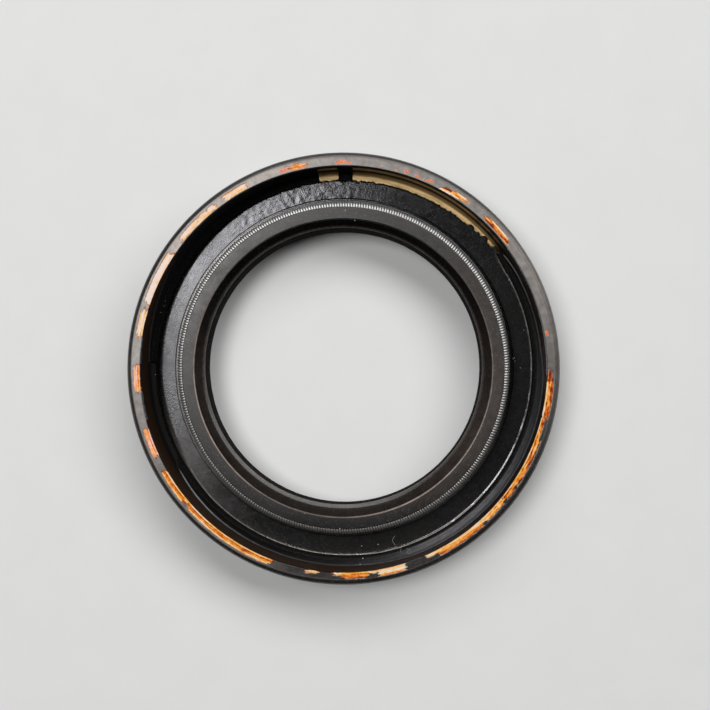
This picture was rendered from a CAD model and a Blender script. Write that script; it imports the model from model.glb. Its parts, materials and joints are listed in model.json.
"""Looks of a rubber-covered radial shaft seal that lies on its back face, oil side up.

Sizes are in millimetres and turn into metres where a mesh is made. Angles are compass degrees:
clockwise from +Y, seen from above. Knots are a dictionary, with straight lines from each to the
next, and go by the compass unless the comment says otherwise.
"""

import json
import random
from itertools import accumulate
from math import asin, ceil, cos, exp, hypot, pi, radians, sin, sqrt, tan

import bmesh
import bpy
from mathutils import Matrix, Vector, noise


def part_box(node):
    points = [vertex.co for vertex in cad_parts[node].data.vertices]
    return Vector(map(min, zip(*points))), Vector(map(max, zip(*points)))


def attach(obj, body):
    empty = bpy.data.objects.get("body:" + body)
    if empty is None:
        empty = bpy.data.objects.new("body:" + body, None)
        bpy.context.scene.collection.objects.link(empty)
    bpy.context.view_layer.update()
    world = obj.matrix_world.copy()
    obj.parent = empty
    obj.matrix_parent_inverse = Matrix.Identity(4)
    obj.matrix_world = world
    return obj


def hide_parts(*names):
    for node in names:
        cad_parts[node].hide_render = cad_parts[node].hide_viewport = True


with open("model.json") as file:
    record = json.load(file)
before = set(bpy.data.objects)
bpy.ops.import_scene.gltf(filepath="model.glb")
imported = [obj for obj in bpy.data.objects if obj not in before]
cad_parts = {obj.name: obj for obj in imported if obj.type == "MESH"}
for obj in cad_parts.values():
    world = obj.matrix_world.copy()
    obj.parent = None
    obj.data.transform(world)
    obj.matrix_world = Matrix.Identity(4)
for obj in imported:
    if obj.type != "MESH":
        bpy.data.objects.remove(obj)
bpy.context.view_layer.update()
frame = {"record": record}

MM = 0.001
FULL_TURN = 360.0


# -------- sizes from the frame


def box_mm(node):
    """Lowest and highest corner of a CAD node in millimetres."""
    lowest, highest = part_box(node)
    return lowest / MM, highest / MM


body_high = box_mm("rubber_body")[1]
case_low, case_high = box_mm("metal_case")
spring_low, spring_high = box_mm("garter_spring")
shaft_bore = next(m for m in frame["record"]["mounts"] if m["name"] == "shaft_bore")

OUTER_RADIUS = body_high.x
WIDTH = body_high.z
CASE_OUTER = case_high.x
CASE_TOP = case_high.z
BACK_LAYER = case_low.z
COIL_RADIUS = (spring_high.z - spring_low.z) / 2
SPRING_CIRCLE = spring_high.x - COIL_RADIUS
SPRING_HEIGHT = (spring_high.z + spring_low.z) / 2
CONTACT_RADIUS = shaft_bore["dims"]["r_mm"]
CONTACT_BAND = shaft_bore["dims"]["length_mm"]
CONTACT_BOTTOM = shaft_bore["pos_m"][2] / MM - CONTACT_BAND / 2

# Sizes that the frame doesn't state
SHEET = 0.8
BEND_RADIUS = 0.4
RIM_FILM = WIDTH - CASE_TOP
RIM_ROUNDING = 0.7
LEAD_IN_HEIGHT = 1.0
LEAD_IN_DEPTH = 0.6
FLOOR_LAYER = 0.8
BARE_BAND = 1.05
SKIN = 0.15
TRIM_REACH = 0.35
TRIM_RISE = 0.2
CONE_REACH = 0.85
CONE_RISE = 0.85
NOSE_WIDTH = 1.45
NOSE_ROUNDING = 0.1
AIR_SIDE_SLOPE = tan(radians(25.0))
GROOVE_CLEARANCE = 0.03
BEAD_REACH = 0.85
BEAD_DROP = 0.4
BEAD_THICKNESS = 0.45
BEAD_ROUNDING = 0.15
NECK_DROP = 0.9
NECK_ROUNDING = 0.4
MEMBRANE = 1.3
FOOT_ROUNDING = 0.8
VALLEY_GAP = 0.6
VALLEY_DEPTH = 0.25
VALLEY_BANK = 0.1
DUST_RADIUS = 17.0
DUST_HEIGHT = 0.6
DUST_BAND = 0.15
DUST_ROOT_REACH = 1.45
DUST_ROOT_RISE = 0.85
DUST_ROOT_ROUNDING = 0.3
CAVITY_HEIGHT = 2.35
CAVITY_ROUNDING = 0.5
BACK_RECESS_REACH = 0.95
FLANGE_INNER = 20.2

CASE_INNER = CASE_OUTER - SHEET
FLAT_END = CASE_INNER - BEND_RADIUS
FLANGE_TOP = BACK_LAYER + SHEET
WALL_START = FLANGE_TOP + BEND_RADIUS
FLOOR_TOP = FLANGE_TOP + FLOOR_LAYER
FLOOR_EDGE = CASE_INNER - BARE_BAND
TRIM_RADIUS = CONTACT_RADIUS + TRIM_REACH
CONTACT_TOP = CONTACT_BOTTOM + CONTACT_BAND
TRIM_TOP = CONTACT_TOP + TRIM_RISE
NOSE_TOP = TRIM_TOP + CONE_RISE
NOSE_INNER = TRIM_RADIUS + CONE_REACH
NOSE_OUTER = NOSE_INNER + NOSE_WIDTH
GROOVE_RADIUS = COIL_RADIUS + GROOVE_CLEARANCE
GROOVE_MOUTH = SPRING_CIRCLE - NOSE_OUTER
BEAD_RADIUS = SPRING_CIRCLE + BEAD_REACH
BEAD_TOP = SPRING_HEIGHT - BEAD_DROP
BEAD_BOTTOM = BEAD_TOP - BEAD_THICKNESS
NECK_HEIGHT = BEAD_BOTTOM - NECK_DROP
VALLEY_RADIUS = BEAD_RADIUS + VALLEY_GAP
VALLEY_TOP = FLOOR_TOP - VALLEY_DEPTH
FLOOR_START = VALLEY_RADIUS + VALLEY_BANK
DUST_ROOT = DUST_RADIUS + DUST_ROOT_REACH

# How far the slack lip lies off the centre at the spring, and its tip beside that
HEAD_SHIFT = Vector((-0.03, 0.12, 0.0)) * MM
TIP_SHIFT = Vector((0.03, 0.2, 0.0)) * MM


# -------- what is bare and what is covered

# Arcs of the rim where the moulding film is missing: compass start, compass end, distance of
# the inner and outer edge from the inside of the wall, and the tone of the rust at the inner
# edge, in the middle and at the outer edge: 0 is dark red, 1 is cream
RIM_GAPS = [
    (28.3, 31, 0.12, 0.34, 0.85, 0.7, 0.4), (29.4, 33.6, 0.2, 0.56, 0.85, 0.55, 0.9),
    (31.6, 35.6, 0.34, 0.7, 0.5, 0.6, 0.95), (34.2, 36.6, 0.5, 0.72, 0.4, 0.4, 0.35),
    (42.8, 45, 0.36, 0.56, 0.35, 0.4, 0.7), (43.8, 51.6, 0.22, 0.74, 0.3, 0.5, 0.95),
    (51, 52.7, 0.24, 0.5, 0.3, 0.35, 0.6), (90.1, 93, 0.2, 0.58, 0.25, 0.25, 0.25),
    (92.4, 103.4, -0.1, 0.75, 0.85, 0.4, 0.3), (103, 109.6, 0, 0.42, 0.82, 0.5, 0.4),
    (109, 124.4, -0.1, 0.65, 0.78, 0.42, 0.38), (124.4, 128.3, -0.1, 0.64, 0.8, 0.3, 0.3),
    (128.1, 129.1, -0.1, 0.3, 0.8, 0.8, 0.7), (128.9, 136.7, -0.1, 0.62, 0.84, 0.6, 0.55),
    (136.4, 137.4, -0.1, 0.5, 0.84, 0.8, 0.6), (137, 153, -0.1, 0.7, 0.82, 0.46, 0.4),
    (152.8, 156.1, 0, 0.34, 0.84, 0.84, 0.7), (162.2, 170, 0, 0.74, 0.85, 0.95, 0.55),
    (169.8, 172.3, 0.05, 0.3, 0.9, 0.9, 0.7), (173, 180.2, 0, 0.68, 0.65, 0.45, 0.4),
    (180, 182.4, 0.05, 0.3, 0.9, 0.9, 0.7), (186.8, 190.6, 0.02, 0.24, 0.85, 0.85, 0.7),
    (200.4, 229, -0.05, 0.65, 0.82, 0.38, 0.76), (228.8, 230.5, -0.05, 0.3, 0.82, 0.8, 0.6),
    (230.3, 240.2, -0.05, 0.66, 0.8, 0.4, 0.7), (245.2, 253, -0.05, 0.66, 0.8, 0.56, 0.62),
    (264.1, 271.1, 0, 0.7, 0.66, 0.66, 0.76), (279.6, 286.6, 0.05, 0.72, 0.76, 0.86, 0.88),
    (289, 304, 0.02, 0.72, 0.88, 1.06, 1.05), (308.9, 316.2, 0.15, 0.7, 0.82, 0.92, 0.96),
    (316, 319.4, 0.12, 0.74, 0.78, 0.82, 0.88), (319.2, 322.2, 0.16, 0.72, 0.85, 0.92, 0.95),
    (325.4, 332.4, 0.14, 0.72, 0.76, 0.84, 0.86), (345.4, 349.9, 0.2, 0.74, 0.54, 0.62, 0.68),
]
GAP_END = 0.24

# Strength of the rust that shows through beside a gap, and how far it reaches
GAP_STAIN = {0: 1, 265: 1, 280: 0.35, 338: 0.35, 345: 1, 360: 1}
STAIN_REACH = 0.09

# Rust spots that show through the rim film: compass, distance from the wall, size
RIM_SPOTS = [
    (358.7, 0.34, 0.15), (359.8, 0.44, 0.2), (361.5, 0.34, 0.14), (366.6, 0.35, 0.045),
    (370.8, 0.35, 0.055), (375, 0.2, 0.08), (377.9, 0.38, 0.15), (380.7, 0.33, 0.13),
    (381.6, 0.2, 0.08), (383.4, 0.2, 0.08), (384.4, 0.3, 0.1), (385.2, 0.4, 0.13),
    (343.3, 0.42, 0.17), (344.5, 0.44, 0.13), (79.7, 0.3, 0.17), (190, 0.36, 0.13),
    (204, 0.6, 0.16),
]
SPOT_STRENGTH = 1.5
SPOT_REACH = 3
SPOT_NARROWING = 0.6

# Windows that run from the floor layer up the case wall, where no film covers the steel
BARE_WINDOWS = [(2.5, 53.6), (241.0, 271.5), (352.4, 358.3)]
WINDOW_ROUNDING = 0.3

# Height of the film's free edge on the case wall
WALL_FILM = {
    0: 8.4, 2.5: 8.4, 52.9: 1.4, 53.6: 1.7, 56: 2.4, 60: 3.2, 75: 3.5, 84: 3.9, 92: 5.3, 130: 5.6,
    160: 5.3, 176: 4.3, 200: 3.9, 222: 3.7, 232: 2.9, 239: 1.9, 242: 1.4, 270.8: 1.4, 271.5: 2.6,
    285: 4, 300: 5.4, 306: 6.6, 313: 8.4, 360: 8.4,
}

# Radius of the rubber's edge beside the bare windows
RAGGED_EDGE = {-30: 23.4, -8: 23.45, 5: 23.42, 30: 23.5, 45: 23.6, 60: 23.95, 225: 23.7, 280: 23.7}

# Share by which the floor layer reaches out to that edge
WIDE_FLOOR = {-28: 0, -20: 1, 53: 1, 56: 0.3, 60: 0}

# Round blobs on that edge: compass, size
EDGE_BLOBS = [
    (42, 0.42), (44.9, 0.3), (47.3, 0.52), (51.7, 0.48), (36.2, 0.14), (30.5, 0.1), (22, 0.09),
]
BLOB_REACH = 0.85

# Arcs where flash stands inwards from the rim: compass start, compass end, reach
RIM_FLASH = [
    (30, 53.2, 0.12), (53, 92, 0.22), (156.8, 162.6, 0.08), (190.8, 200.8, 0.06), (240, 245, 0.06),
    (255, 279.5, 0.26), (303.5, 309.5, 0.15), (312, 318.5, 0.14), (321, 325, 0.1),
    (331.5, 361, 0.12),
]
LEAST_FLASH = 0.02

# The film sinks this share of its thickness into the steel where it is missing
SUNK = 0.4
FILM_EDGE_WIDTH = 0.11

# How far outside its arc a window, a gap or its rust may still reach
NEAR_WINDOW = 1.0
NEAR_GAP = 0.5
NEAR_RUST = 0.1

# Unevenness: height, size of its features and seed of each wave
RAGGED_WAVES = [(0.16, 0.23, 0), (0.08, 0.9, 3)]
FREE_EDGE_WAVES = [(0.14, 1.6, 0), (0.04, 0.4, 0)]
WINDOW_WAVES = [(0.04, 0.4, 0)]
GAP_END_WAVES = [(0.15, 0.2, 0)]
GAP_STEP_WAVES = [(0.7, 0.13, 0)]
GAP_SIDE_WAVES = [(0.04, 0.9, 0), (0.07, 0.2, 0)]
SPOT_WAVES = [(0.5, 0.2, 0)]
FLASH_WAVES = [(0.35, 0.7, 0)]
RIDGE_WAVES = [(0.6, 0.3, 0), (0.3, 2, 0)]
WRINKLE_STREAKS = [(1, 0.5, 0)]
WRINKLE_LUMPS = [(0.8, 0.35, 5)]
RIM_WAVES = [(0.012, 0.8, 7)]
RUST_WAVES = [(0.02, 0.22, 0)]


def arc_offset(compass, middle):
    """Signed degrees from a compass direction."""
    return (compass - middle + FULL_TURN / 2) % FULL_TURN - FULL_TURN / 2


def arc_depth(compass, start, end, radius):
    """Millimetres inside an arc from its nearer end; negative outside."""
    inside = (end - start) / 2 - abs(arc_offset(compass, (start + end) / 2))
    return radians(inside) * radius


def between(value, knots):
    """Straight-line interpolation between knots, or None beyond them."""
    spots = list(knots.items())
    for (start, first), (end, second) in zip(spots, spots[1:]):
        if start <= value <= end:
            return first + (second - first) * (value - start) / (end - start)
    return None


def on_ring(compass, radius, height):
    """Place in metres from compass degrees and millimetres."""
    angle = radians(compass)
    return Vector((radius * sin(angle), radius * cos(angle), height)) * MM


def held(value, lowest=0.0, highest=1.0):
    """Value kept between two limits."""
    return min(max(value, lowest), highest)


def lip_shift(radius, height):
    """How far the slack lip has moved aside at a place of its section."""
    if radius > VALLEY_RADIUS:
        return Vector()
    raised = held((height - CAVITY_HEIGHT) / (BEAD_BOTTOM - CAVITY_HEIGHT))
    towards_tip = held((NOSE_INNER - radius) / (NOSE_INNER - CONTACT_RADIUS))
    return HEAD_SHIFT * raised + TIP_SHIFT * raised * towards_tip


def uneven(compass, radius, waves, seed=0.0):
    """Sum of waves of smooth noise over the ring."""
    total = 0.0
    for height, size, own_seed in waves:
        place = on_ring(compass, radius, 0.0) / (size * MM)
        total += height * noise.noise(place + Vector((0, 0, own_seed + seed)))
    return total


def rounded_least(first, second, rounding):
    """Depth inside two edges that meet in a rounded corner."""
    if first < rounding and second < rounding:
        return rounding - hypot(rounding - first, rounding - second)
    return min(first, second)


def cover_at(bare_depth):
    """Share of the film's thickness at a depth inside a bare area."""
    return 1.0 - held(bare_depth / FILM_EDGE_WIDTH + 0.5) * (1.0 + SUNK)


def along_wall(height):
    """Distance along the case's inner contour, equal to the radius on its flat band."""
    bend_length = BEND_RADIUS * pi / 2
    rise = height - FLANGE_TOP
    if rise < BEND_RADIUS:
        return FLAT_END + bend_length * rise / BEND_RADIUS
    return FLAT_END + bend_length + rise - BEND_RADIUS


def ragged_edge(compass):
    """Radius at which the rubber ends beside a bare window."""
    turned_back = compass - FULL_TURN if compass > FULL_TURN + min(RAGGED_EDGE) else compass
    edge = between(turned_back, RAGGED_EDGE) or CASE_INNER
    edge += uneven(compass, edge, RAGGED_WAVES)
    for middle, size in EDGE_BLOBS:
        aside = radians(arc_offset(compass, middle)) * edge
        if abs(aside) < size:
            edge += BLOB_REACH * sqrt(size * size - aside * aside)
    return edge


def floor_edge(compass):
    """Radius at which the thick floor layer ends: further out beside the bare windows."""
    wide = between(arc_offset(compass, 0.0), WIDE_FLOOR) or 0.0
    if wide == 0:
        return FLOOR_EDGE + RIDGE_SHIFT * between(compass, RIDGE)
    return FLOOR_EDGE + (ragged_edge(compass) - FILM_EDGE_WIDTH - FLOOR_EDGE) * wide


def free_edge(compass):
    """Height at which the film on the case wall ends."""
    return between(compass, WALL_FILM) + uneven(compass, CASE_INNER, FREE_EDGE_WAVES)


def wall_bare_depth(compass, along):
    """How far a place on the case's inner contour lies inside a bare area."""
    depth = -CASE_INNER
    for start, end in BARE_WINDOWS:
        side = arc_depth(compass, start, end, CASE_INNER) + uneven(along, along, WINDOW_WAVES, start)
        if side > -NEAR_WINDOW:
            depth = max(depth, rounded_least(side, along - ragged_edge(compass), WINDOW_ROUNDING))
    return max(depth, along - along_wall(free_edge(compass)))


def rim_bare_depth(compass, beyond):
    """How far a place on the case's cut edge, this far out from the wall, lies in a gap."""
    radius = CASE_INNER + beyond
    depth = -CASE_INNER
    for start, end, inner, outer, *tones in RIM_GAPS:
        side = arc_depth(compass, start, end, radius)
        if side < -NEAR_GAP:
            continue
        side += uneven(compass, radius, GAP_END_WAVES, start)
        side += uneven(start, beyond, GAP_STEP_WAVES, end)
        ragged = uneven(compass, radius, GAP_SIDE_WAVES, end)
        outside = inner + (outer - inner) * sqrt(held(side / GAP_END)) + ragged - beyond
        depth = max(depth, min(side, outside, beyond - inner + ragged))
    return depth


def stain_at(compass, beyond):
    """Strength, from 0 to 1, of the rust that shows through the rim film."""
    radius = CASE_INNER + beyond
    stain = held(1.0 + rim_bare_depth(compass, beyond) / STAIN_REACH) * between(compass, GAP_STAIN)
    for middle, distance, size in RIM_SPOTS:
        aside = radians(arc_offset(compass, middle)) * radius
        if abs(aside) < SPOT_REACH * size:
            reach = hypot(aside * SPOT_NARROWING, beyond - distance) / size
            stain = max(stain, SPOT_STRENGTH - reach + uneven(compass, radius, SPOT_WAVES))
    return min(stain, 1.0)


def flash_reach(compass):
    """How far the rim film stands inwards from the case wall."""
    reach = LEAST_FLASH
    for start, end, size in RIM_FLASH:
        inside = arc_depth(compass, start, end, CASE_INNER)
        if inside > 0:
            ragged = 1.0 + uneven(compass, CASE_INNER, FLASH_WAVES, start)
            reach = max(reach, min(inside, size) * ragged)
    return reach


# -------- meshes

BASE_COLUMNS = 300
FLOOR_COLUMNS = 600
FINE_COLUMNS = 1200
ARC_STEP = radians(18.0)
RUN_STEP = 1.6
LEAST_RUN = 0.001
SHARP_ANGLE = radians(50.0)


def rounded_path(corners):
    """Points of an open path from corners of radius, height and, where it is round, rounding."""
    points = []
    spots = [Vector(corner[:2]) for corner in corners]
    for index, here in enumerate(spots):
        if len(corners[index]) == 2:
            points.append(here)
            continue
        rounding = corners[index][2]
        back = (spots[index - 1] - here).normalized()
        ahead = (spots[index + 1] - here).normalized()
        turn = pi - back.angle(ahead)
        reach = rounding * tan(turn / 2)
        centre = here + (back + ahead).normalized() * (rounding / cos(turn / 2))
        start = here + back * reach - centre
        end = here + ahead * reach - centre
        steps = max(2, ceil(turn / ARC_STEP))
        for step in range(steps + 1):
            first = sin((1 - step / steps) * turn) / sin(turn)
            second = sin(step / steps * turn) / sin(turn)
            points.append(centre + start * first + end * second)
    return divided(points)


def divided(points):
    """Adds points on long runs, drops doubled ones and leaves out the last."""
    result = []
    for start, end in zip(points, points[1:]):
        length = (end - start).length
        if length < LEAST_RUN:
            continue
        steps = max(1, ceil(length / RUN_STEP))
        result += [start.lerp(end, step / steps) for step in range(steps)]
    return result


def circle_point(compass, radius, height, finish, bloom=None):
    """Point of a true circle."""
    return radius, height, bloomed(finish, between(compass, bloom)) if bloom else finish


def turned(corners, *finish):
    """Rows of true circles through the rounded path of corners."""
    return [(BASE_COLUMNS, circle_point, *point, *finish) for point in rounded_path(corners)]


def faces_between(counts, start=0, closed=True):
    """Faces between rows of points; a closed surface's last row joins its first.

    The longer of two neighbours has a whole multiple of the shorter's points.
    """
    rows = list(zip(accumulate(counts, initial=start), counts))
    faces = []
    for (start_a, count_a), (start_b, count_b) in zip(rows, rows[1:] + rows[:closed]):
        groups = min(count_a, count_b)
        per_a = count_a // groups
        per_b = count_b // groups
        for group in range(groups):
            side_a = [start_a + (group * per_a + i) % count_a for i in range(per_a + 1)]
            side_b = [start_b + (group * per_b + i) % count_b for i in range(per_b + 1)]
            faces.append(side_a + side_b[::-1])
    return faces


def circle_points(middle, first, second, radius, sides):
    """Points round a middle in metres, in the plane of two directions."""
    angles = [2 * pi * side / sides for side in range(sides)]
    return [middle + (first * cos(angle) + second * sin(angle)) * radius * MM for angle in angles]


def solid_mesh(name, vertices, faces):
    """Mesh with all its faces turned to the outside."""
    mesh = bpy.data.meshes.new(name)
    mesh.from_pydata(vertices, [], faces)
    work = bmesh.new()
    work.from_mesh(mesh)
    bmesh.ops.recalc_face_normals(work, faces=work.faces)
    work.to_mesh(mesh)
    work.free()
    return mesh


def add_object(name, data):
    """New object in the scene."""
    made = bpy.data.objects.new(name, data)
    bpy.context.scene.collection.objects.link(made)
    return made


def finish_piece(name, mesh, material):
    """Piece from a mesh, shaded smooth with sharp corners, riding on the body."""
    for polygon in mesh.polygons:
        polygon.use_smooth = True
    mesh.set_sharp_from_angle(angle=SHARP_ANGLE)
    mesh.materials.append(material)
    piece = add_object(name, mesh)
    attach(piece, "root")
    return piece


def ring_piece(name, rows, material):
    """Piece through rows, the last of which joins the first.

    A row has a number of columns, a function of the compass that gives radius, height and tint,
    and what else that function takes.
    """
    vertices = []
    tints = []
    for columns, point_at, *settings in rows:
        for column in range(columns):
            compass = FULL_TURN * column / columns
            radius, height, tint = point_at(compass, *settings)
            vertices.append(on_ring(compass, radius, height) + lip_shift(radius, height))
            tints.extend(tint)
    mesh = solid_mesh(name, vertices, faces_between([row[0] for row in rows]))
    mesh.attributes.new("tint", "FLOAT_VECTOR", "POINT").data.foreach_set("vector", tints)
    return finish_piece(name, mesh, material)


# -------- materials


def colour(red, green, blue):
    """Colour with its alpha."""
    return (red, green, blue, 1.0)


class Surface:
    """Node material as it is built. What feeds a socket is a plain value or another socket."""

    def __init__(self, name):
        self.material = bpy.data.materials.new(name)
        self.material.use_nodes = True
        self.tree = self.material.node_tree
        self.tree.nodes.clear()
        self.place = self.node("TexCoord").outputs["Object"]
        self.shader = self.node("BsdfPrincipled")
        self.node("OutputMaterial", {0: self.shader.outputs[0]})

    def feed(self, sockets, values):
        """Sets or links sockets."""
        for name, value in values.items():
            if isinstance(value, bpy.types.NodeSocket):
                self.tree.links.new(value, sockets[name])
            else:
                sockets[name].default_value = value

    def node(self, kind, inputs=None, **settings):
        """New shader node."""
        made = self.tree.nodes.new("ShaderNode" + kind)
        for name, value in settings.items():
            setattr(made, name, value)
        self.feed(made.inputs, inputs or {})
        return made

    def finish(self, **values):
        """Feeds the shader, with an underscore for a space, and gives the material."""
        self.feed(self.shader.inputs, {name.replace("_", " "): values[name] for name in values})
        return self.material

    def tint(self):
        """The three values of the tint."""
        tint = self.node("Attribute", attribute_name="tint").outputs["Vector"]
        return self.node("SeparateXYZ", {0: tint}).outputs[:3]

    def math(self, operation, *values, clamp=False):
        """Result of a math node."""
        inputs = dict(enumerate(values))
        return self.node("Math", inputs, operation=operation, use_clamp=clamp).outputs[0]

    def scaled(self, value, factor, offset):
        """A value times a factor, plus an offset."""
        return self.math("MULTIPLY_ADD", value, factor, offset)

    def around(self, value, spread):
        """A value from 0 to 1 spread evenly round 0."""
        return self.scaled(value, spread, -spread / 2)

    def mix(self, factor, first, second, blend="MIX"):
        """Mix of two colours."""
        inputs = {0: factor, 6: first, 7: second}
        return self.node("Mix", inputs, data_type="RGBA", blend_type=blend).outputs[2]

    def noise(self, size, detail=3.0, roughness=0.55):
        """Noise with features of a size in millimetres."""
        inputs = {"Vector": self.place, "Scale": 1.0 / (size * MM), "Detail": detail}
        return self.node("TexNoise", {**inputs, "Roughness": roughness}).outputs["Fac"]

    def ring_noise(self, along, across, detail=3.0):
        """Noise with features of one size along the ring and another across it."""
        x, y, height = self.node("SeparateXYZ", {0: self.place}).outputs
        length = self.math("MULTIPLY", self.math("ARCTAN2", x, y), CASE_INNER / along)
        radius = self.math("SQRT", self.scaled(x, x, self.math("MULTIPLY", y, y)))
        depth = self.math("MULTIPLY", self.math("ADD", radius, height), 1.0 / (across * MM))
        both = self.node("CombineXYZ", {0: length, 1: depth}).outputs[0]
        return self.node("TexNoise", {"Vector": both, "Scale": 1.0, "Detail": detail}).outputs["Fac"]

    def remap(self, value, low, high, to_low=0.0, to_high=1.0):
        """Value stretched from one range to another and held inside it."""
        inputs = {"Value": value, 1: low, 2: high, 3: to_low, 4: to_high}
        return self.node("MapRange", inputs).outputs[0]

    def bumped(self, height, distance, strength):
        """Normal from a height of a distance in millimetres."""
        inputs = {"Height": height, "Distance": distance * MM, "Strength": strength}
        return self.node("Bump", inputs).outputs[0]

    def ramp(self, value, stops):
        """Colour from a row of stops, each with its place and its colour."""
        made = self.node("ValToRGB", {0: value})
        elements = made.color_ramp.elements
        while len(elements) < len(stops):
            elements.new(1.0)
        for element, (place, shade) in zip(elements, stops):
            element.position = place
            element.color = shade
        return made.outputs[0]


BLACK_RUBBER = colour(0.002, 0.002, 0.0022)
FLECK = colour(0.3, 0.29, 0.27)
COARSE_RELIEF = 1.2
FULL_RUST = 2.0
STAIN_TONES = [
    (0.35, colour(0.4, 0.05, 0.005)),
    (0.55, colour(0.8, 0.16, 0.015)),
    (0.72, colour(0.85, 0.45, 0.15)),
]


def rubber_material(name, specular, specular_tint, bloom_colour):
    """Black nitrile rubber. Tint holds roughness, grey bloom and grain; bloom over 1 is rust."""
    made = Surface(name)
    roughness, bloom, grain = made.tint()
    mottle = made.remap(made.noise(size=0.9, detail=4.0, roughness=0.65), low=0.35, high=0.7)
    grey = made.math("MINIMUM", bloom, 1.0)
    grey = made.math("MULTIPLY", grey, made.scaled(mottle, factor=0.45, offset=0.6))
    base = made.mix(grey, BLACK_RUBBER, bloom_colour)
    flecks = made.remap(made.noise(size=0.14, detail=1.0), low=0.61, high=0.73, to_high=0.5)
    base = made.mix(made.math("MULTIPLY", flecks, grain), base, FLECK)
    spots = made.noise(size=0.2)
    stain = made.remap(made.math("ADD", spots, bloom), low=1.5, high=FULL_RUST)
    base = made.mix(stain, base, made.ramp(spots, STAIN_TONES))
    patches = made.around(made.noise(size=0.5), spread=0.16)
    clouds = made.around(made.noise(size=2.0), spread=0.4)
    rough = made.math("ADD", roughness, made.scaled(clouds, grain, patches), clamp=True)
    relief = made.scaled(made.noise(size=0.24), COARSE_RELIEF, made.noise(size=0.09, detail=2.0))
    relief = made.math("MULTIPLY", relief, grain)
    return made.finish(
        Base_Color=base,
        Roughness=rough,
        Normal=made.bumped(relief, distance=0.02, strength=1.0),
        Specular_IOR_Level=specular,
        Specular_Tint=specular_tint,
    )


BROWN_COAT = colour(0.06, 0.024, 0.007)
GOLD_COAT = colour(0.82, 0.57, 0.27)
SOOT = colour(0.004, 0.003, 0.0025)
DRAWN_LINES = colour(0.02, 0.012, 0.006)
LINE_STRENGTH = 0.6
LAYER_STRENGTH = 1.2
PATCH_RELIEF = 0.15
SALMON_TINT = colour(1.0, 0.88, 1.45)
RUST_TONES = [
    (0.0, colour(0.06, 0.012, 0.004)),
    (0.2, colour(0.26, 0.035, 0.006)),
    (0.36, colour(0.6, 0.11, 0.01)),
    (0.5, colour(0.82, 0.25, 0.02)),
    (0.65, colour(0.87, 0.43, 0.07)),
    (0.8, colour(0.91, 0.6, 0.27)),
    (0.92, colour(0.87, 0.65, 0.45)),
    (1.0, colour(0.86, 0.72, 0.6)),
]


def case_material(name, specular):
    """Phosphated and lacquered steel. Tint holds rust, its tone and the gold of the coat.

    Gold below 0 is soot. On the rust, gold is salmon.
    """
    made = Surface(name)
    rust, tone, gold = made.tint()
    patches = made.noise(size=0.45, detail=4.0, roughness=0.6)
    fine = made.noise(size=0.14, detail=4.0, roughness=0.65)
    golden = made.math("MAXIMUM", gold, 0.0)
    soot = made.math("MULTIPLY", gold, -1.0, clamp=True)
    coat = made.mix(soot, made.mix(golden, BROWN_COAT, GOLD_COAT), SOOT)
    lines = made.remap(made.ring_noise(along=3.0, across=0.5), low=0.5, high=0.75)
    coat = made.mix(made.math("MULTIPLY", lines, LINE_STRENGTH), coat, DRAWN_LINES)
    layers = made.ring_noise(along=1.8, across=0.13, detail=2.0)
    mixed = made.scaled(layers, LAYER_STRENGTH, made.math("ADD", fine, patches))
    tone = made.math("ADD", tone, made.scaled(mixed, factor=0.62, offset=-0.992), clamp=True)
    oxide = made.mix(golden, made.ramp(tone, RUST_TONES), SALMON_TINT, "MULTIPLY")
    dull = made.math("MAXIMUM", rust, soot)
    relief = made.scaled(fine, rust, made.math("MULTIPLY", patches, PATCH_RELIEF))
    return made.finish(
        Base_Color=made.mix(rust, coat, oxide),
        Roughness=made.scaled(dull, factor=0.4, offset=0.3),
        Metallic=made.scaled(dull, factor=-0.6, offset=0.6),
        Normal=made.bumped(relief, distance=0.03, strength=0.8),
        Specular_IOR_Level=specular,
    )


DULL_WIRE = colour(0.52, 0.515, 0.5)
BRIGHT_WIRE = colour(0.72, 0.715, 0.7)


def spring_material():
    """Dull drawn spring wire with a thin film of grease."""
    made = Surface("spring_wire")
    fine = made.noise(size=0.1, detail=2.0)
    return made.finish(
        Base_Color=made.mix(made.noise(size=1.2), DULL_WIRE, BRIGHT_WIRE),
        Roughness=made.scaled(fine, factor=0.15, offset=0.42),
        Metallic=1.0,
        Normal=made.bumped(fine, distance=0.004, strength=0.5),
    )


def matt_material(name, size, dark, pale, roughness):
    """Matt material that wanders between two colours."""
    made = Surface(name)
    return made.finish(Base_Color=made.mix(made.noise(size), dark, pale), Roughness=roughness)


# Name, size of the clouds, dark and pale colour, roughness
DUST = ("dust", 0.2, colour(0.35, 0.33, 0.3), colour(0.7, 0.68, 0.64), 0.9)
BOARD = ("pale_board", 6.0, colour(0.72, 0.72, 0.715), colour(0.76, 0.76, 0.755), 0.85)


# -------- moulded rubber

COOL_TINT = colour(0.96, 0.955, 1.0)
PALE_TINT = colour(1.0, 0.97, 0.955)
WARM_TINT = colour(1.0, 0.925, 0.875)
BROWN_BLOOM = colour(0.42, 0.33, 0.28)
GREY_BLOOM = colour(0.36, 0.33, 0.305)
PALE_BLOOM = colour(0.56, 0.53, 0.5)
COOL_BLOOM = colour(0.37, 0.368, 0.388)

# Rubbers: name, specular level, specular tint and colour of the bloom
SATIN, NOSE, CONE, OUTSIDE, FILM = range(5)
RUBBERS = [
    ("satin_rubber", 0.75, COOL_TINT, PALE_BLOOM),
    ("nose_rubber", 0.5, PALE_TINT, BROWN_BLOOM),
    ("cone_rubber", 0.12, WARM_TINT, BROWN_BLOOM),
    ("outside_rubber", 0.75, WARM_TINT, GREY_BLOOM),
    ("film_rubber", 0.12, WARM_TINT, COOL_BLOOM),
]

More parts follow.
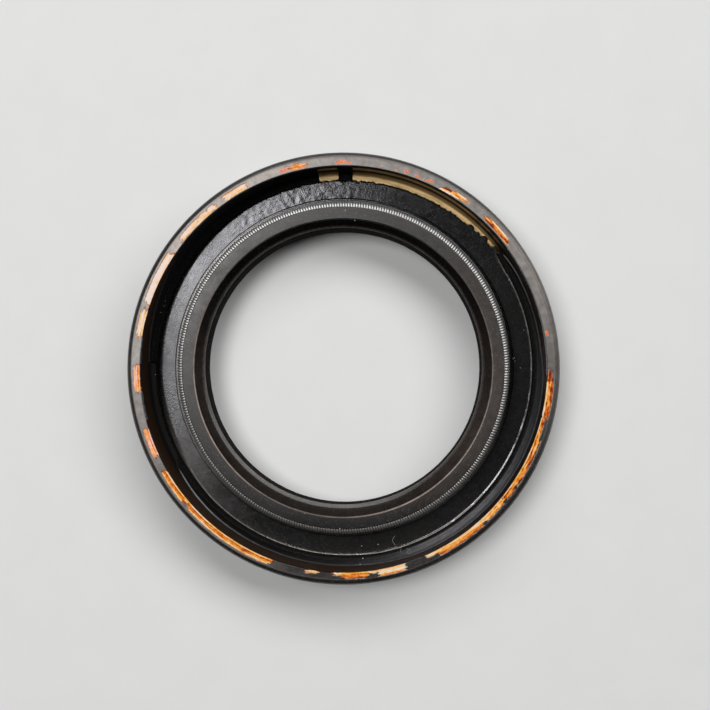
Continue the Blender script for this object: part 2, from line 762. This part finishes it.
# Finishes: roughness, grey bloom and grain
RIM_FINISH = (0.36, 1.0, 0.5)
CORNER_FINISH = (0.36, 0.0, 0.5)
JACKET_FINISH = (0.3, 0.03, 0.5)
AIR_FINISH = (0.45, 0.0, 0.4)
TRIM_FINISH = (0.38, 0.15, 0.6)
CONE_FINISH = (0.22, 1.0, 0.15)
EDGE_FINISH = (0.25, 1.0, 0.3)
NOSE_FINISH = (0.38, 1.0, 0.4)
GROOVE_FINISH = (0.5, 0.02, 0.4)
BEAD_FINISH = (0.18, 0.64, 0.4)
BAND_FINISH = (0.6, 0.0, 0.3)
WALL_FINISH = (0.6, 1.0, 0.3)

FLOOR_ROWS = 18
FLOOR_CROWDING = 0.9
BAND_ROWS = 7
WALL_ROWS = 14
BEND_ROWS = 4
CORNER_ROWS = 3
EDGE_ROUND_ROWS = 6
ROUNDING_ROWS = 14
RIM_ROWS = 13
FLAT_BLOOM_FADE = 2.4  # rows of the rounding over which the rim's own bloom ends
CONE_END = 0.7  # of the nose's rounding, where the finish changes before its inner edge
NOSE_START = 0.6  # and behind it
MOULD_RING = 0.009
RIM_SINK = 0.012
WRINKLE_HEIGHT = 0.02
WRINKLED_ARC = (318.0, 366.0)
WRINKLE_FADE = 3.0
WRINKLE_START = 0.3
LEAST_WRINKLE = 0.06
WRINKLE_SQUEEZE = 0.45
RIDGE_SHIFT = 0.14
RIDGE_WIDTH = 0.13
RIDGE_HEIGHT = 0.08
RIDGE_INSET = 0.7
EDGE_DROP = 0.4
WALL_END = CASE_TOP - SKIN / 2

# How sharp and light the raised edge of the floor layer is
RIDGE = {
    0: 0, 50: 0, 60: 0.6, 95: 0.5, 112: 0.7, 130: 1.2, 145: 1.8, 170: 1.9, 178: 1.2, 200: 0.8,
    235: 0.45, 245: 0, 360: 0,
}

# How far the floor layer rounds off at its edge
EDGE_ROUNDING = {
    0: 0.14, 55: 0.14, 65: 0.07, 205: 0.07, 225: 0.14, 245: 0.7, 295: 0.7, 312: 0.5, 330: 0.25,
    345: 0.16, 360: 0.14,
}

# Roughness and grain of the floor layer
FLOOR_ROUGHNESS = {
    0: 0.15, 245: 0.15, 270: 0.3, 285: 0.28, 300: 0.23, 320: 0.22, 345: 0.15, 360: 0.15,
}
FLOOR_GRAIN = {
    0: 0.4, 50: 0.35, 75: 0.15, 170: 0.1, 195: 0.3, 252: 0.45, 272: 0.38, 315: 0.38, 335: 0.42,
    360: 0.4,
}

# Grey bloom of each zone
RIM_BLOOM = {
    0: 0.75, 45: 0.7, 60: 0.75, 75: 0.6, 95: 0.3, 110: 0.03, 195: 0.03, 210: 0.3, 255: 0.5,
    270: 0.8, 300: 1, 330: 1, 345: 0.95, 360: 0.75,
}
ROUNDING_BLOOM = {
    0: 0.08, 35: 0.08, 60: 0.38, 80: 0.3, 105: 0.15, 120: 0.03, 215: 0, 240: 0.05, 270: 0.05,
    300: 0, 360: 0.08,
}
WALL_BLOOM = {
    0: 0, 60: 0.04, 90: 0.26, 105: 0.3, 120: 0.56, 135: 0.97, 150: 1, 158: 0.7, 165: 0.3, 180: 0.09,
    200: 0.03, 360: 0.03,
}
FLOOR_BLOOM = {
    0: 0, 55: 0.04, 90: 0.025, 120: 0.015, 180: 0.03, 210: 0.035, 225: 0.07, 240: 0.16, 252: 0.07,
    265: 0, 360: 0,
}
BEAD_BLOOM = {
    0: 0, 100: 0, 135: 0.25, 150: 0.22, 165: 0.06, 205: 0.06, 225: 0.3, 240: 0.8, 258: 1.1,
    300: 1.15, 320: 0.95, 340: 0.15, 360: 0,
}
NOSE_BLOOM = {0: 0.03, 60: 0.06, 100: 0.13, 140: 0.06, 180: 0, 230: 0.02, 280: 0.04, 360: 0.03}
CONE_BLOOM = {
    0: 0, 60: 0.01, 90: 0.05, 120: 0.1, 150: 0.045, 240: 0.03, 270: 0.05, 285: 0.02, 310: 0, 360: 0,
}
NOSE_EDGE_BLOOM = {
    0: 0, 30: 0.05, 60: 0.3, 90: 0.4, 120: 0.55, 138: 0.75, 155: 0.8, 180: 0.35, 210: 0.3,
    240: 0.85, 262: 0.9, 300: 0.45, 330: 0.1, 360: 0,
}
FREE_EDGE_BLOOM = {
    0: 0, 52: 0, 55: 0.44, 64: 0.26, 75: 0.09, 95: 0.17, 125: 0.17, 145: 0.09, 175: 0.04, 205: 0.09,
    218: 0.26, 226: 0.6, 236: 0.6, 240: 0.09, 360: 0,
}

# Share of the wall's bloom by the rise above the bend
WALL_FADE = {
    -9: 0, -0.6: 0, -0.4: 0.1, -0.2: 0.75, 0: 0.85, 1.5: 0.95, 2.3: 0.9, 3.2: 0.3, 4.4: 0.05, 9: 0,
}

# Rows of the film that keep to its free edge: number of the row, height above the edge, share of
# the edge's bloom
EDGE_LEVELS = [(6, -0.16, 0.2), (7, -0.055, 1.0), (8, 0.055, 1.0), (9, 0.16, 1.0)]
EDGE_SHARES = {row: share for row, aside, share in EDGE_LEVELS}
EDGE_MARGIN = 0.3


def bloomed(finish, share):
    """Finish with a share of its bloom."""
    roughness, bloom, grain = finish
    return roughness, bloom * share, grain


def air_side_radius(height):
    """Radius of the cone on the lip's air side at a height."""
    return CONTACT_RADIUS + (CONTACT_BOTTOM - height) * AIR_SIDE_SLOPE


def oil_side_radius(height):
    """Radius of the membrane's oil side at a height."""
    return air_side_radius(height) + MEMBRANE


def rounding_point(compass, step):
    """Point on the rounded outer edge of the rim, which has fine rings from the mould."""
    angle = pi / 2 * step / ROUNDING_ROWS
    deep = MOULD_RING * (1 - cos(radians(compass))) / 2
    reach = RIM_ROUNDING - deep * (step % 2)
    flat = (1.0 - step / FLAT_BLOOM_FADE) * between(compass, RIM_BLOOM)
    bloom = max(flat, between(compass, ROUNDING_BLOOM))
    radius = OUTER_RADIUS - RIM_ROUNDING + reach * sin(angle)
    return radius, WIDTH - RIM_ROUNDING + reach * cos(angle), bloomed(RIM_FINISH, bloom)


def jacket_rows():
    """Outside diameter, lead-in chamfer, back face and its recess."""
    corners = [
        (OUTER_RADIUS, WIDTH - RIM_ROUNDING),
        (OUTER_RADIUS, LEAD_IN_HEIGHT),
        (OUTER_RADIUS - LEAD_IN_DEPTH, 0),
        (DUST_ROOT + BACK_RECESS_REACH, 0),
        (DUST_ROOT, DUST_HEIGHT + DUST_ROOT_RISE, DUST_ROOT_ROUNDING),
        (DUST_RADIUS, DUST_HEIGHT),
    ]
    return turned(corners, JACKET_FINISH)


def lip_rows():
    """Dust lip edge, grease space, air-side cone, contact band and knife-trimmed face."""
    air_side = [
        (DUST_RADIUS, DUST_HEIGHT),
        (DUST_RADIUS, DUST_HEIGHT + DUST_BAND),
        (air_side_radius(CAVITY_HEIGHT), CAVITY_HEIGHT, CAVITY_ROUNDING),
        (CONTACT_RADIUS, CONTACT_BOTTOM),
    ]
    edge = [
        (CONTACT_RADIUS, CONTACT_BOTTOM),
        (CONTACT_RADIUS, CONTACT_TOP),
        (TRIM_RADIUS, TRIM_TOP),
    ]
    return turned(air_side, AIR_FINISH) + turned(edge, TRIM_FINISH)


def on_cone(below_nose):
    """Corner on the moulded cone at a height below the nose face."""
    share = 1.0 - below_nose / CONE_RISE
    return TRIM_RADIUS + CONE_REACH * share, TRIM_TOP + CONE_RISE * share


def nose_rows():
    """Moulded cone, nose face and the short wall down to the spring groove."""
    groove_start = SPRING_HEIGHT + sqrt(GROOVE_RADIUS**2 - GROOVE_MOUTH**2)
    cone_end = on_cone(CONE_END * NOSE_ROUNDING)
    nose_start = (NOSE_INNER + NOSE_START * NOSE_ROUNDING, NOSE_TOP)
    nose_end = (NOSE_OUTER, groove_start)
    cone = [on_cone(CONE_RISE), on_cone(NOSE_ROUNDING), cone_end]
    edge = [cone_end, (NOSE_INNER, NOSE_TOP, NOSE_ROUNDING), nose_start]
    nose = [nose_start, (NOSE_OUTER, NOSE_TOP, NOSE_ROUNDING), nose_end]
    rows = turned(cone, CONE_FINISH, CONE_BLOOM) + turned(edge, EDGE_FINISH, NOSE_EDGE_BLOOM)
    return rows + turned(nose, NOSE_FINISH, NOSE_BLOOM)


def groove_rows():
    """Round groove that holds the spring."""
    start = pi / 2 + asin(GROOVE_MOUTH / GROOVE_RADIUS)
    end = 2 * pi - asin(BEAD_DROP / GROOVE_RADIUS)
    steps = ceil((end - start) / ARC_STEP)
    rows = []
    for step in range(steps + 1):
        angle = start + (end - start) * step / steps
        radius = SPRING_CIRCLE + GROOVE_RADIUS * cos(angle)
        place = Vector((radius, SPRING_HEIGHT + GROOVE_RADIUS * sin(angle)))
        rows.append((BASE_COLUMNS, circle_point, *place, GROOVE_FINISH))
    return rows


def bead_rows():
    """Lower lip of the groove, neck and membrane, and the valley beside the floor."""
    corners = [
        (BEAD_RADIUS - 2 * BEAD_ROUNDING, BEAD_TOP),
        (BEAD_RADIUS, BEAD_TOP, BEAD_ROUNDING),
        (BEAD_RADIUS, BEAD_BOTTOM, BEAD_ROUNDING),
        (oil_side_radius(NECK_HEIGHT), NECK_HEIGHT, NECK_ROUNDING),
        (oil_side_radius(VALLEY_TOP), VALLEY_TOP, FOOT_ROUNDING),
        (VALLEY_RADIUS, VALLEY_TOP),
        (FLOOR_START, FLOOR_TOP),
    ]
    return turned(corners, BEAD_FINISH, BEAD_BLOOM)


def wrinkle(compass, radius):
    """Height of the crumpled surface of the floor layer."""
    inside = arc_depth(compass, *WRINKLED_ARC, radius)
    crumpled = held(inside / WRINKLE_FADE + WRINKLE_START, LEAST_WRINKLE)
    squeezed = FLOOR_EDGE + (radius - FLOOR_EDGE) * WRINKLE_SQUEEZE
    waves = uneven(compass, squeezed, WRINKLE_STREAKS) + uneven(compass, radius, WRINKLE_LUMPS)
    return WRINKLE_HEIGHT * crumpled * waves


def ridge_strength(compass, radius):
    """Share, from 0 up, of the raised edge of the floor layer at a place."""
    crest = floor_edge(compass) - RIDGE_INSET * between(compass, EDGE_ROUNDING)
    ragged = 1.0 + uneven(compass, FLOOR_EDGE, RIDGE_WAVES)
    return between(compass, RIDGE) * ragged * held(1.0 - abs(crest - radius) / RIDGE_WIDTH)


def floor_point(compass, across, down=0.0):
    """Point of the floor layer at a share of the way across its flat or down its rounded edge."""
    rounding = between(compass, EDGE_ROUNDING)
    if across < 1:
        flat = floor_edge(compass) - rounding - FLOOR_START
        radius = FLOOR_START + flat * across**FLOOR_CROWDING
    else:
        radius = floor_edge(compass) - rounding * (1 - sin(pi / 2 * down))
    drop = min(rounding, EDGE_DROP) * (1 - cos(pi / 2 * down))
    height = FLOOR_TOP - drop + (1 - down) * wrinkle(compass, radius)
    ridge = ridge_strength(compass, radius)
    bloom = between(compass, FLOOR_BLOOM) + held(ridge)
    tint = (between(compass, FLOOR_ROUGHNESS), bloom, between(compass, FLOOR_GRAIN))
    return radius, height + RIDGE_HEIGHT * ridge * (1 - down), tint


def foot_point(compass):
    """Point where the edge of the floor layer meets the film."""
    return floor_edge(compass), FLANGE_TOP + 2 * SKIN, BAND_FINISH


def floor_rows():
    """Floor layer from the valley to its rounded outer edge, down to the film."""
    rows = [(FLOOR_COLUMNS, floor_point, step / FLOOR_ROWS) for step in range(FLOOR_ROWS)]
    for step in range(EDGE_ROUND_ROWS + 1):
        rows.append((FINE_COLUMNS, floor_point, 1, step / EDGE_ROUND_ROWS))
    return rows + [(FINE_COLUMNS, foot_point)]


def band_point(compass, share):
    """Point of the film on the flat band between the floor layer and the bend."""
    start = floor_edge(compass) + SKIN / 2
    radius = start + (FLAT_END - start) * share
    return radius, FLANGE_TOP + SKIN * cover_at(wall_bare_depth(compass, radius)), BAND_FINISH


def bend_spot(step):
    """Radius, height, normal and distance along the contour at a step round the case's bend."""
    angle = pi / 2 * step / BEND_ROWS
    place = (FLAT_END + BEND_RADIUS * sin(angle), WALL_START - BEND_RADIUS * cos(angle))
    return (*place, (-sin(angle), cos(angle)), FLAT_END + BEND_RADIUS * angle)


def wall_spot(compass, level):
    """The same on the case wall; the rows of EDGE_LEVELS keep to the film's free edge."""
    edge = held(free_edge(compass), WALL_START + EDGE_MARGIN, WALL_END - EDGE_MARGIN)
    levels = {row: edge + aside for row, aside, share in EDGE_LEVELS}
    height = between(level, {0: WALL_START, **levels, WALL_ROWS: WALL_END})
    return CASE_INNER, height, (-1.0, 0.0), along_wall(height)


def film_point(compass, level):
    """Point of the film over the case's inner contour; on the bend its level is below 0."""
    spot = bend_spot(level + BEND_ROWS) if level < 0 else wall_spot(compass, level)
    radius, height, normal, along = spot
    thickness = SKIN * cover_at(wall_bare_depth(compass, along))
    bloom = between(compass, WALL_BLOOM) * between(along - along_wall(WALL_START), WALL_FADE)
    bloom = max(bloom, EDGE_SHARES.get(level, 0.0) * between(compass, FREE_EDGE_BLOOM))
    place = (radius + normal[0] * thickness, height + normal[1] * thickness)
    return (*place, bloomed(WALL_FINISH, bloom))


def corner_point(compass, step):
    """Point of the rim film round the top corner of the wall."""
    angle = pi / 2 * step / CORNER_ROWS
    rim_cover = cover_at(rim_bare_depth(compass, 0.0))
    wall_cover = cover_at(wall_bare_depth(compass, along_wall(CASE_TOP)))
    reach = max(flash_reach(compass), SKIN * wall_cover) if rim_cover > 0 else SKIN
    radius = CASE_INNER - reach * rim_cover * cos(angle)
    return radius, CASE_TOP + RIM_FILM * rim_cover * sin(angle), CORNER_FINISH


def rim_point(compass, beyond):
    """Point of the film over the case's cut edge, this far out from the wall."""
    roughness, most, grain = RIM_FINISH
    radius = CASE_INNER + beyond
    cover = cover_at(rim_bare_depth(compass, beyond))
    swell = uneven(compass, radius, RIM_WAVES) - RIM_SINK
    height = CASE_TOP + RIM_FILM * cover + (swell if cover > 0 else 0.0)
    bloom = most * between(compass, RIM_BLOOM) + FULL_RUST * stain_at(compass, beyond)
    return radius, height, (roughness, min(bloom, FULL_RUST), grain)


def film_rows():
    """Film over the band, round the bend, up the case wall and over its cut edge."""
    rows = [(FINE_COLUMNS, band_point, step / BAND_ROWS) for step in range(BAND_ROWS)]
    rows += [(FINE_COLUMNS, film_point, level) for level in range(-BEND_ROWS, WALL_ROWS + 1)]
    rows += [(FINE_COLUMNS, corner_point, step) for step in range(CORNER_ROWS + 1)]
    flat = OUTER_RADIUS - RIM_ROUNDING - CASE_INNER
    return rows + [(FINE_COLUMNS, rim_point, flat * step / RIM_ROWS) for step in range(1, RIM_ROWS)]


def rubber_at(radius, height):
    """Which rubber a place of the section shows."""
    on_band = FLOOR_EDGE < radius < CASE_INNER and FLANGE_TOP < height < FLANGE_TOP + 2 * SKIN
    on_wall = CASE_INNER - 2 * SKIN < radius < CASE_INNER and FLANGE_TOP < height < CASE_TOP
    if on_band or on_wall:
        return FILM
    on_cone_face = radius < NOSE_INNER - NOSE_ROUNDING and height > TRIM_TOP
    on_air_side = radius < DUST_ROOT and DUST_HEIGHT < height < CONTACT_BOTTOM
    if on_cone_face or on_air_side:
        return CONE
    if radius > CASE_INNER or height < FLANGE_TOP:
        return OUTSIDE
    return NOSE if radius < SPRING_CIRCLE and height > NECK_HEIGHT else SATIN


def make_rubber():
    """The whole moulded rubber as one closed mesh."""
    rows = [(BASE_COLUMNS, rounding_point, step) for step in range(ROUNDING_ROWS)]
    rows += jacket_rows() + lip_rows() + nose_rows() + groove_rows() + bead_rows()
    rows += floor_rows() + film_rows()
    materials = [rubber_material(*rubber) for rubber in RUBBERS]
    piece = ring_piece("rubber_moulding", rows, materials[SATIN])
    for material in materials[NOSE:]:
        piece.data.materials.append(material)
    for polygon in piece.data.polygons:
        polygon.material_index = rubber_at(polygon.center.xy.length / MM, polygon.center.z / MM)
    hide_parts("rubber_body")


# -------- steel case

HIDDEN_STEEL = (0.0, 0.0, 0.0)
COAT_SPECULAR = 0.3
RUST_SPECULAR = 0.12
RUST_SWELL = 0.1
BURR_HEIGHT = 0.02
BURR_WIDTH = 0.1
EDGE_ROWS = 16
CASE_WALL_ROWS = 24
PLAIN_TONE = 0.3
WALL_TONE = 0.1
TOP_RUST = 0.8
TOP_RUST_REACH = 0.5

# How gold the coat is: 0 is dark brown
COAT_GOLD = {0: 1, 48: 1, 56: 0.25, 60: 0.08, 230: 0, 300: 0, 345: 0.3, 352: 1, 360: 1}

# How much of that gold shows, by the height on the wall; below 0 it is sooty
WALL_GOLD = {0: 0.85, 2.1: 0.85, 2.35: -1, 3.6: -1, 4.3: 0.2, 5: 0.6, 5.6: 0.4, 6.2: -0.8, 8: -1}

# How sooty the brown coat is, by the height on the wall
WALL_SOOT = {0: 1, 2.4: 1, 3.6: 0.6, 5.5: 0.2, 8: 0}

# Least soot on the brown coat
LEAST_SOOT = {0: 0, 86: 0, 98: 1, 135: 1, 155: 0.5, 175: 0, 360: 0}

# How strongly the streaks of the rust differ, and how salmon the rust is
RUST_UNEVEN = {0: 1.3, 128: 1.4, 142: 0.7, 360: 0.6}
RUST_SALMON = {0: 0, 240: 0, 246: 1, 272: 1, 280: 0.15, 335: 0.15, 345: 1, 350: 1, 360: 0}

# Streaks along the cut edge: strength, length, width and seed
RUST_STREAKS = [(0.28, 2, 0.3, 0), (0.24, 0.6, 0.14, 4)]

# Cream line along the inner edge: the arc in which it is broad, and its share of the rust's width
BROAD_CREAM = (128.9, 156.2)
BROAD_LINE = 0.36
NARROW_LINE = 0.2

# The dark line beside the cream one, and the rest of the width: share of the width, which of the
# gap's three tones it has, and what is added to that
DARK_LINE = [(0.1, 1, -0.1), (0.13, 1, -0.1)]
ACROSS_RUST = [
    (0.5, 1, 0.12), (0.72, 1, 0.03), (0.82, 2, 0), (0.94, 2, 0), (1.1, 2, -0.2), (9, 2, -0.2),
]


def coat_shade(compass, height):
    """Gold of the coat at a place on the wall or flange; below 0 it is soot."""
    gold = between(compass, COAT_GOLD)
    soot = max(between(height, WALL_SOOT), between(compass, LEAST_SOOT))
    return gold * between(height, WALL_GOLD) - (1.0 - gold) * soot


def tone_across(share, line, tones):
    """Tone of the rust at a share of a gap's width."""
    knots = [(-9, 0, 0), (line, 0, 0), *((line + more, *rest) for more, *rest in DARK_LINE)]
    knots += ACROSS_RUST
    return between(share, {place: tones[which] + more for place, which, more in knots})


def rust_tone(compass, beyond):
    """Tone of the rust at a place on the cut edge: 0 is dark red, 1 is cream."""
    tone = PLAIN_TONE
    for start, end, inner, outer, *tones in RIM_GAPS:
        if arc_depth(compass, start, end, CASE_INNER) > -NEAR_RUST:
            share = (beyond - max(inner, 0.0)) / (outer - max(inner, 0.0))
            broad = arc_depth(compass, *BROAD_CREAM, CASE_INNER) > 0
            tone = tone_across(share, BROAD_LINE if broad else NARROW_LINE, tones)
            break
    streaks = 0.0
    for strength, length, width, seed in RUST_STREAKS:
        spot = Vector((radians(compass) * CASE_INNER / length, beyond / width, seed))
        streaks += strength * noise.noise(spot)
    return tone + streaks * between(compass, RUST_UNEVEN)


def edge_point(compass, beyond):
    """Point on the rusted cut edge of the case wall."""
    radius = CASE_INNER + beyond
    height = CASE_TOP + RUST_SWELL + BURR_HEIGHT * exp(-beyond / BURR_WIDTH)
    height += uneven(compass, radius, RUST_WAVES)
    return radius, height, (1.0, rust_tone(compass, beyond), between(compass, RUST_SALMON))


def coat_point(compass, radius, height, tone=0.0):
    """Point on the inside of the case, rusty near its top."""
    rust = TOP_RUST * max(0.0, 1.0 - (CASE_TOP - height) / TOP_RUST_REACH)
    return radius, height, (rust, tone, coat_shade(compass, height))


def make_case():
    """Stamped L-section ring with its rusted edge."""
    flange = [(FLANGE_INNER, FLANGE_TOP), (FLAT_END - BEND_RADIUS, FLANGE_TOP)]
    flange += [bend_spot(step)[:2] for step in range(BEND_ROWS)]
    rows = [(BASE_COLUMNS, coat_point, *spot) for spot in flange]
    rise = (CASE_TOP - WALL_START) / CASE_WALL_ROWS
    wall = [WALL_START + rise * step for step in range(CASE_WALL_ROWS)]
    for height in [*wall, CASE_TOP - FILM_EDGE_WIDTH]:
        rows.append((FLOOR_COLUMNS, coat_point, CASE_INNER, height, WALL_TONE))
    rows += [(FINE_COLUMNS, edge_point, SHEET * step / EDGE_ROWS) for step in range(EDGE_ROWS + 1)]
    outside = [
        (CASE_OUTER, CASE_TOP - SHEET),
        (CASE_OUTER, BACK_LAYER, BEND_RADIUS + SHEET),
        (FLANGE_INNER, BACK_LAYER),
        (FLANGE_INNER, FLANGE_TOP),
    ]
    rows += turned(outside, HIDDEN_STEEL)
    piece = ring_piece("steel_case", rows, case_material("lacquered_steel", COAT_SPECULAR))
    piece.data.materials.append(case_material("rusted_steel", RUST_SPECULAR))
    for polygon in piece.data.polygons:
        if polygon.center.z > CASE_TOP * MM:
            polygon.material_index = 1
    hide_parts("metal_case")


# -------- garter spring

COILS = 388
STEPS_PER_COIL = 16
WIRE_SIDES = 8
WIRE_RADIUS = 0.146


def wire_ring(share):
    """Points round the wire at a share of the way along it."""
    compass = FULL_TURN * share
    turn = 2 * pi * COILS * share
    outwards = on_ring(compass, cos(turn), sin(turn)) / MM
    onwards = on_ring(compass + FULL_TURN / 4, 1.0, 0.0) / MM
    middle = on_ring(compass, SPRING_CIRCLE, SPRING_HEIGHT)
    middle += outwards * (COIL_RADIUS - WIRE_RADIUS) * MM
    return circle_points(middle + HEAD_SHIFT, outwards, onwards, WIRE_RADIUS, WIRE_SIDES)


def make_spring():
    """Close-wound wire coil, joined end to end in a ring."""
    rings = COILS * STEPS_PER_COIL
    vertices = [point for index in range(rings) for point in wire_ring(index / rings)]
    mesh = solid_mesh("spring_coil", vertices, faces_between([WIRE_SIDES] * rings))
    piece = finish_piece("spring_coil", mesh, spring_material())
    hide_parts("garter_spring")


# -------- dust and lint

# Specks: compass, radius, height, size
SPECKS = [
    (0.8, 19.15, 6.9, 0.09), (4.5, 18, 6.88, 0.08), (181.2, 19.25, 6.88, 0.09),
    (163.2, 19.05, 6.9, 0.06), (195, 18.05, 6.88, 0.05), (174.4, 22.42, 2.2, 0.08),
    (169.1, 22.52, 2.2, 0.11), (174.4, 24.1, 1.68, 0.09), (175.2, 24.24, 4.4, 0.07),
    (149, 24.24, 3.1, 0.07), (87.6, 21.28, 2.2, 0.07), (89.9, 21.94, 2.2, 0.07),
    (78, 22.86, 2.2, 0.06), (156.6, 24.42, 7.885, 0.07), (157, 24.55, 7.915, 0.05),
    (198.3, 23.22, 2.2, 0.08), (197.4, 23.3, 2.2, 0.07), (196.5, 23.2, 2.2, 0.06),
    (195.4, 23.32, 2.2, 0.08), (194.4, 23.26, 2.2, 0.07), (288.9, 23.9, 1.6, 0.09),
    (290.4, 23.95, 1.6, 0.07), (286.8, 24, 1.7, 0.06), (267.9, 23.75, 1.5, 0.08),
]
SPECK_SEED = 7
SPECK_ROUGHNESS = 0.35
SPECK_SHARE = 0.8

# Fibres: radius of the fibre, then points of compass, radius and height
FIBRES = [
    (0.018, [(163.2, 21.9, 2.5), (164, 22.2, 2.7), (164.3, 22.5, 2.6), (163.9, 23.1, 2.3)]),
    (0.014, [(162.3, 23.6, 1.9), (162.8, 24, 2), (162.8, 24.15, 3.1)]),
    (0.018, [(160.9, 24, 1.8), (160.4, 24.15, 2.6), (161, 24.1, 3.6), (160.5, 24.15, 4.6),
             (159.8, 24.1, 3.7), (160.1, 24, 2.3)]),
    (0.016, [(86.5, 20.95, 2.25), (86.9, 21.1, 2.35), (86.4, 21.25, 2.3)]),
]
FIBRE_SIDES = 5
FIBRE_STEPS = 6


def make_specks():
    """Dust specks as small lumps in one mesh."""
    work = bmesh.new()
    chance = random.Random(SPECK_SEED)
    for compass, radius, height, size in SPECKS:
        middle = on_ring(compass, radius, height + size / 2)
        made = bmesh.ops.create_icosphere(work, subdivisions=1, radius=size * MM)
        for vertex in made["verts"]:
            lumps = [1.0 + chance.uniform(-SPECK_ROUGHNESS, SPECK_ROUGHNESS) for axis in range(3)]
            vertex.co = middle + Vector(a * b for a, b in zip(vertex.co, lumps)) * SPECK_SHARE
    mesh = bpy.data.meshes.new("dust_specks")
    work.to_mesh(mesh)
    work.free()
    finish_piece("dust_specks", mesh, matt_material(*DUST))


def smooth_path(points):
    """Places along a smooth line through points."""
    spots = [on_ring(*point) for point in points]
    spots = [spots[0], *spots, spots[-1]]
    path = []
    for a, b, c, d in zip(spots, spots[1:], spots[2:], spots[3:]):
        for step in range(FIBRE_STEPS):
            t = step / FIBRE_STEPS
            bend = (2 * a - 5 * b + 4 * c - d) * t * t + (3 * b - a - 3 * c + d) * t**3
            path.append((2 * b + (c - a) * t + bend) / 2)
    return path + [spots[-1]]


def make_fibres():
    """Lint fibres as thin tubes in one mesh."""
    vertices = []
    faces = []
    for thickness, points in FIBRES:
        path = smooth_path(points)
        start = len(vertices)
        for index, spot in enumerate(path):
            ahead = (path[min(index + 1, len(path) - 1)] - path[max(index - 1, 0)]).normalized()
            side = ahead.orthogonal().normalized()
            vertices += circle_points(spot, side, ahead.cross(side), thickness, FIBRE_SIDES)
        faces += faces_between([FIBRE_SIDES] * len(path), start, closed=False)
        faces.append(tuple(range(start, start + FIBRE_SIDES))[::-1])
        faces.append(tuple(range(len(vertices) - FIBRE_SIDES, len(vertices))))
    mesh = solid_mesh("lint_fibres", vertices, faces)
    finish_piece("lint_fibres", mesh, matt_material(*DUST))


# -------- floor, lamps, camera

# Lamps: compass, elevation, distance, width, height and power, in metres and watts
LAMPS = {
    "key_lamp": (296.0, 71.0, 0.6, 0.24, 0.24, 1.6),
    "fill_lamp": (25.0, 50.0, 1.0, 1.8, 0.5, 9.5),
}
WORLD_STRENGTH = 0.03
FLOOR_SIZE = 1.2

CAMERA_PLACE = Vector((3.7, 5.9, 140.5)) * MM
CAMERA_TARGET = Vector((1.46, 1.81, 8.0)) * MM
CAMERA_LENS = 56.24


def add_lamp(name, compass, elevation, distance, width, height, power):
    """Soft area lamp that shines at the seal."""
    lamp = bpy.data.lights.new(name, "AREA")
    lamp.shape = "ELLIPSE"
    lamp.size = width
    lamp.size_y = height
    lamp.energy = power
    flat = cos(radians(elevation)) * distance
    up = sin(radians(elevation)) * distance
    made = add_object(name, lamp)
    made.location = on_ring(compass, flat / MM, up / MM)
    made.rotation_euler = (-made.location).to_track_quat("-Z", "Y").to_euler()


def make_studio():
    """Pale floor, two soft lamps and an even world."""
    bpy.ops.mesh.primitive_plane_add(size=FLOOR_SIZE)
    floor = bpy.context.object
    floor.name = "pale_floor"
    floor.data.materials.append(matt_material(*BOARD))
    for name, lamp in LAMPS.items():
        add_lamp(name, *lamp)
    world = bpy.data.worlds.new("studio")
    world.use_nodes = True
    background = world.node_tree.nodes["Background"].inputs
    background["Strength"].default_value = WORLD_STRENGTH
    background["Color"].default_value = colour(1.0, 1.0, 1.0)
    bpy.context.scene.world = world
    bpy.context.scene.view_settings.view_transform = "Standard"


def make_camera():
    """Camera above the seal, a little towards +X and +Y."""
    camera = add_object("camera", bpy.data.cameras.new("camera"))
    camera.data.lens = CAMERA_LENS
    camera.data.clip_start = MM
    camera.location = CAMERA_PLACE
    back = (CAMERA_PLACE - CAMERA_TARGET).normalized()
    right = Vector((0.0, 1.0, 0.0)).cross(back).normalized()
    camera.rotation_euler = Matrix((right, back.cross(right), back)).transposed().to_euler()
    bpy.context.scene.camera = camera


make_camera()
make_studio()
make_rubber()
make_case()
make_spring()
make_specks()
make_fibres()
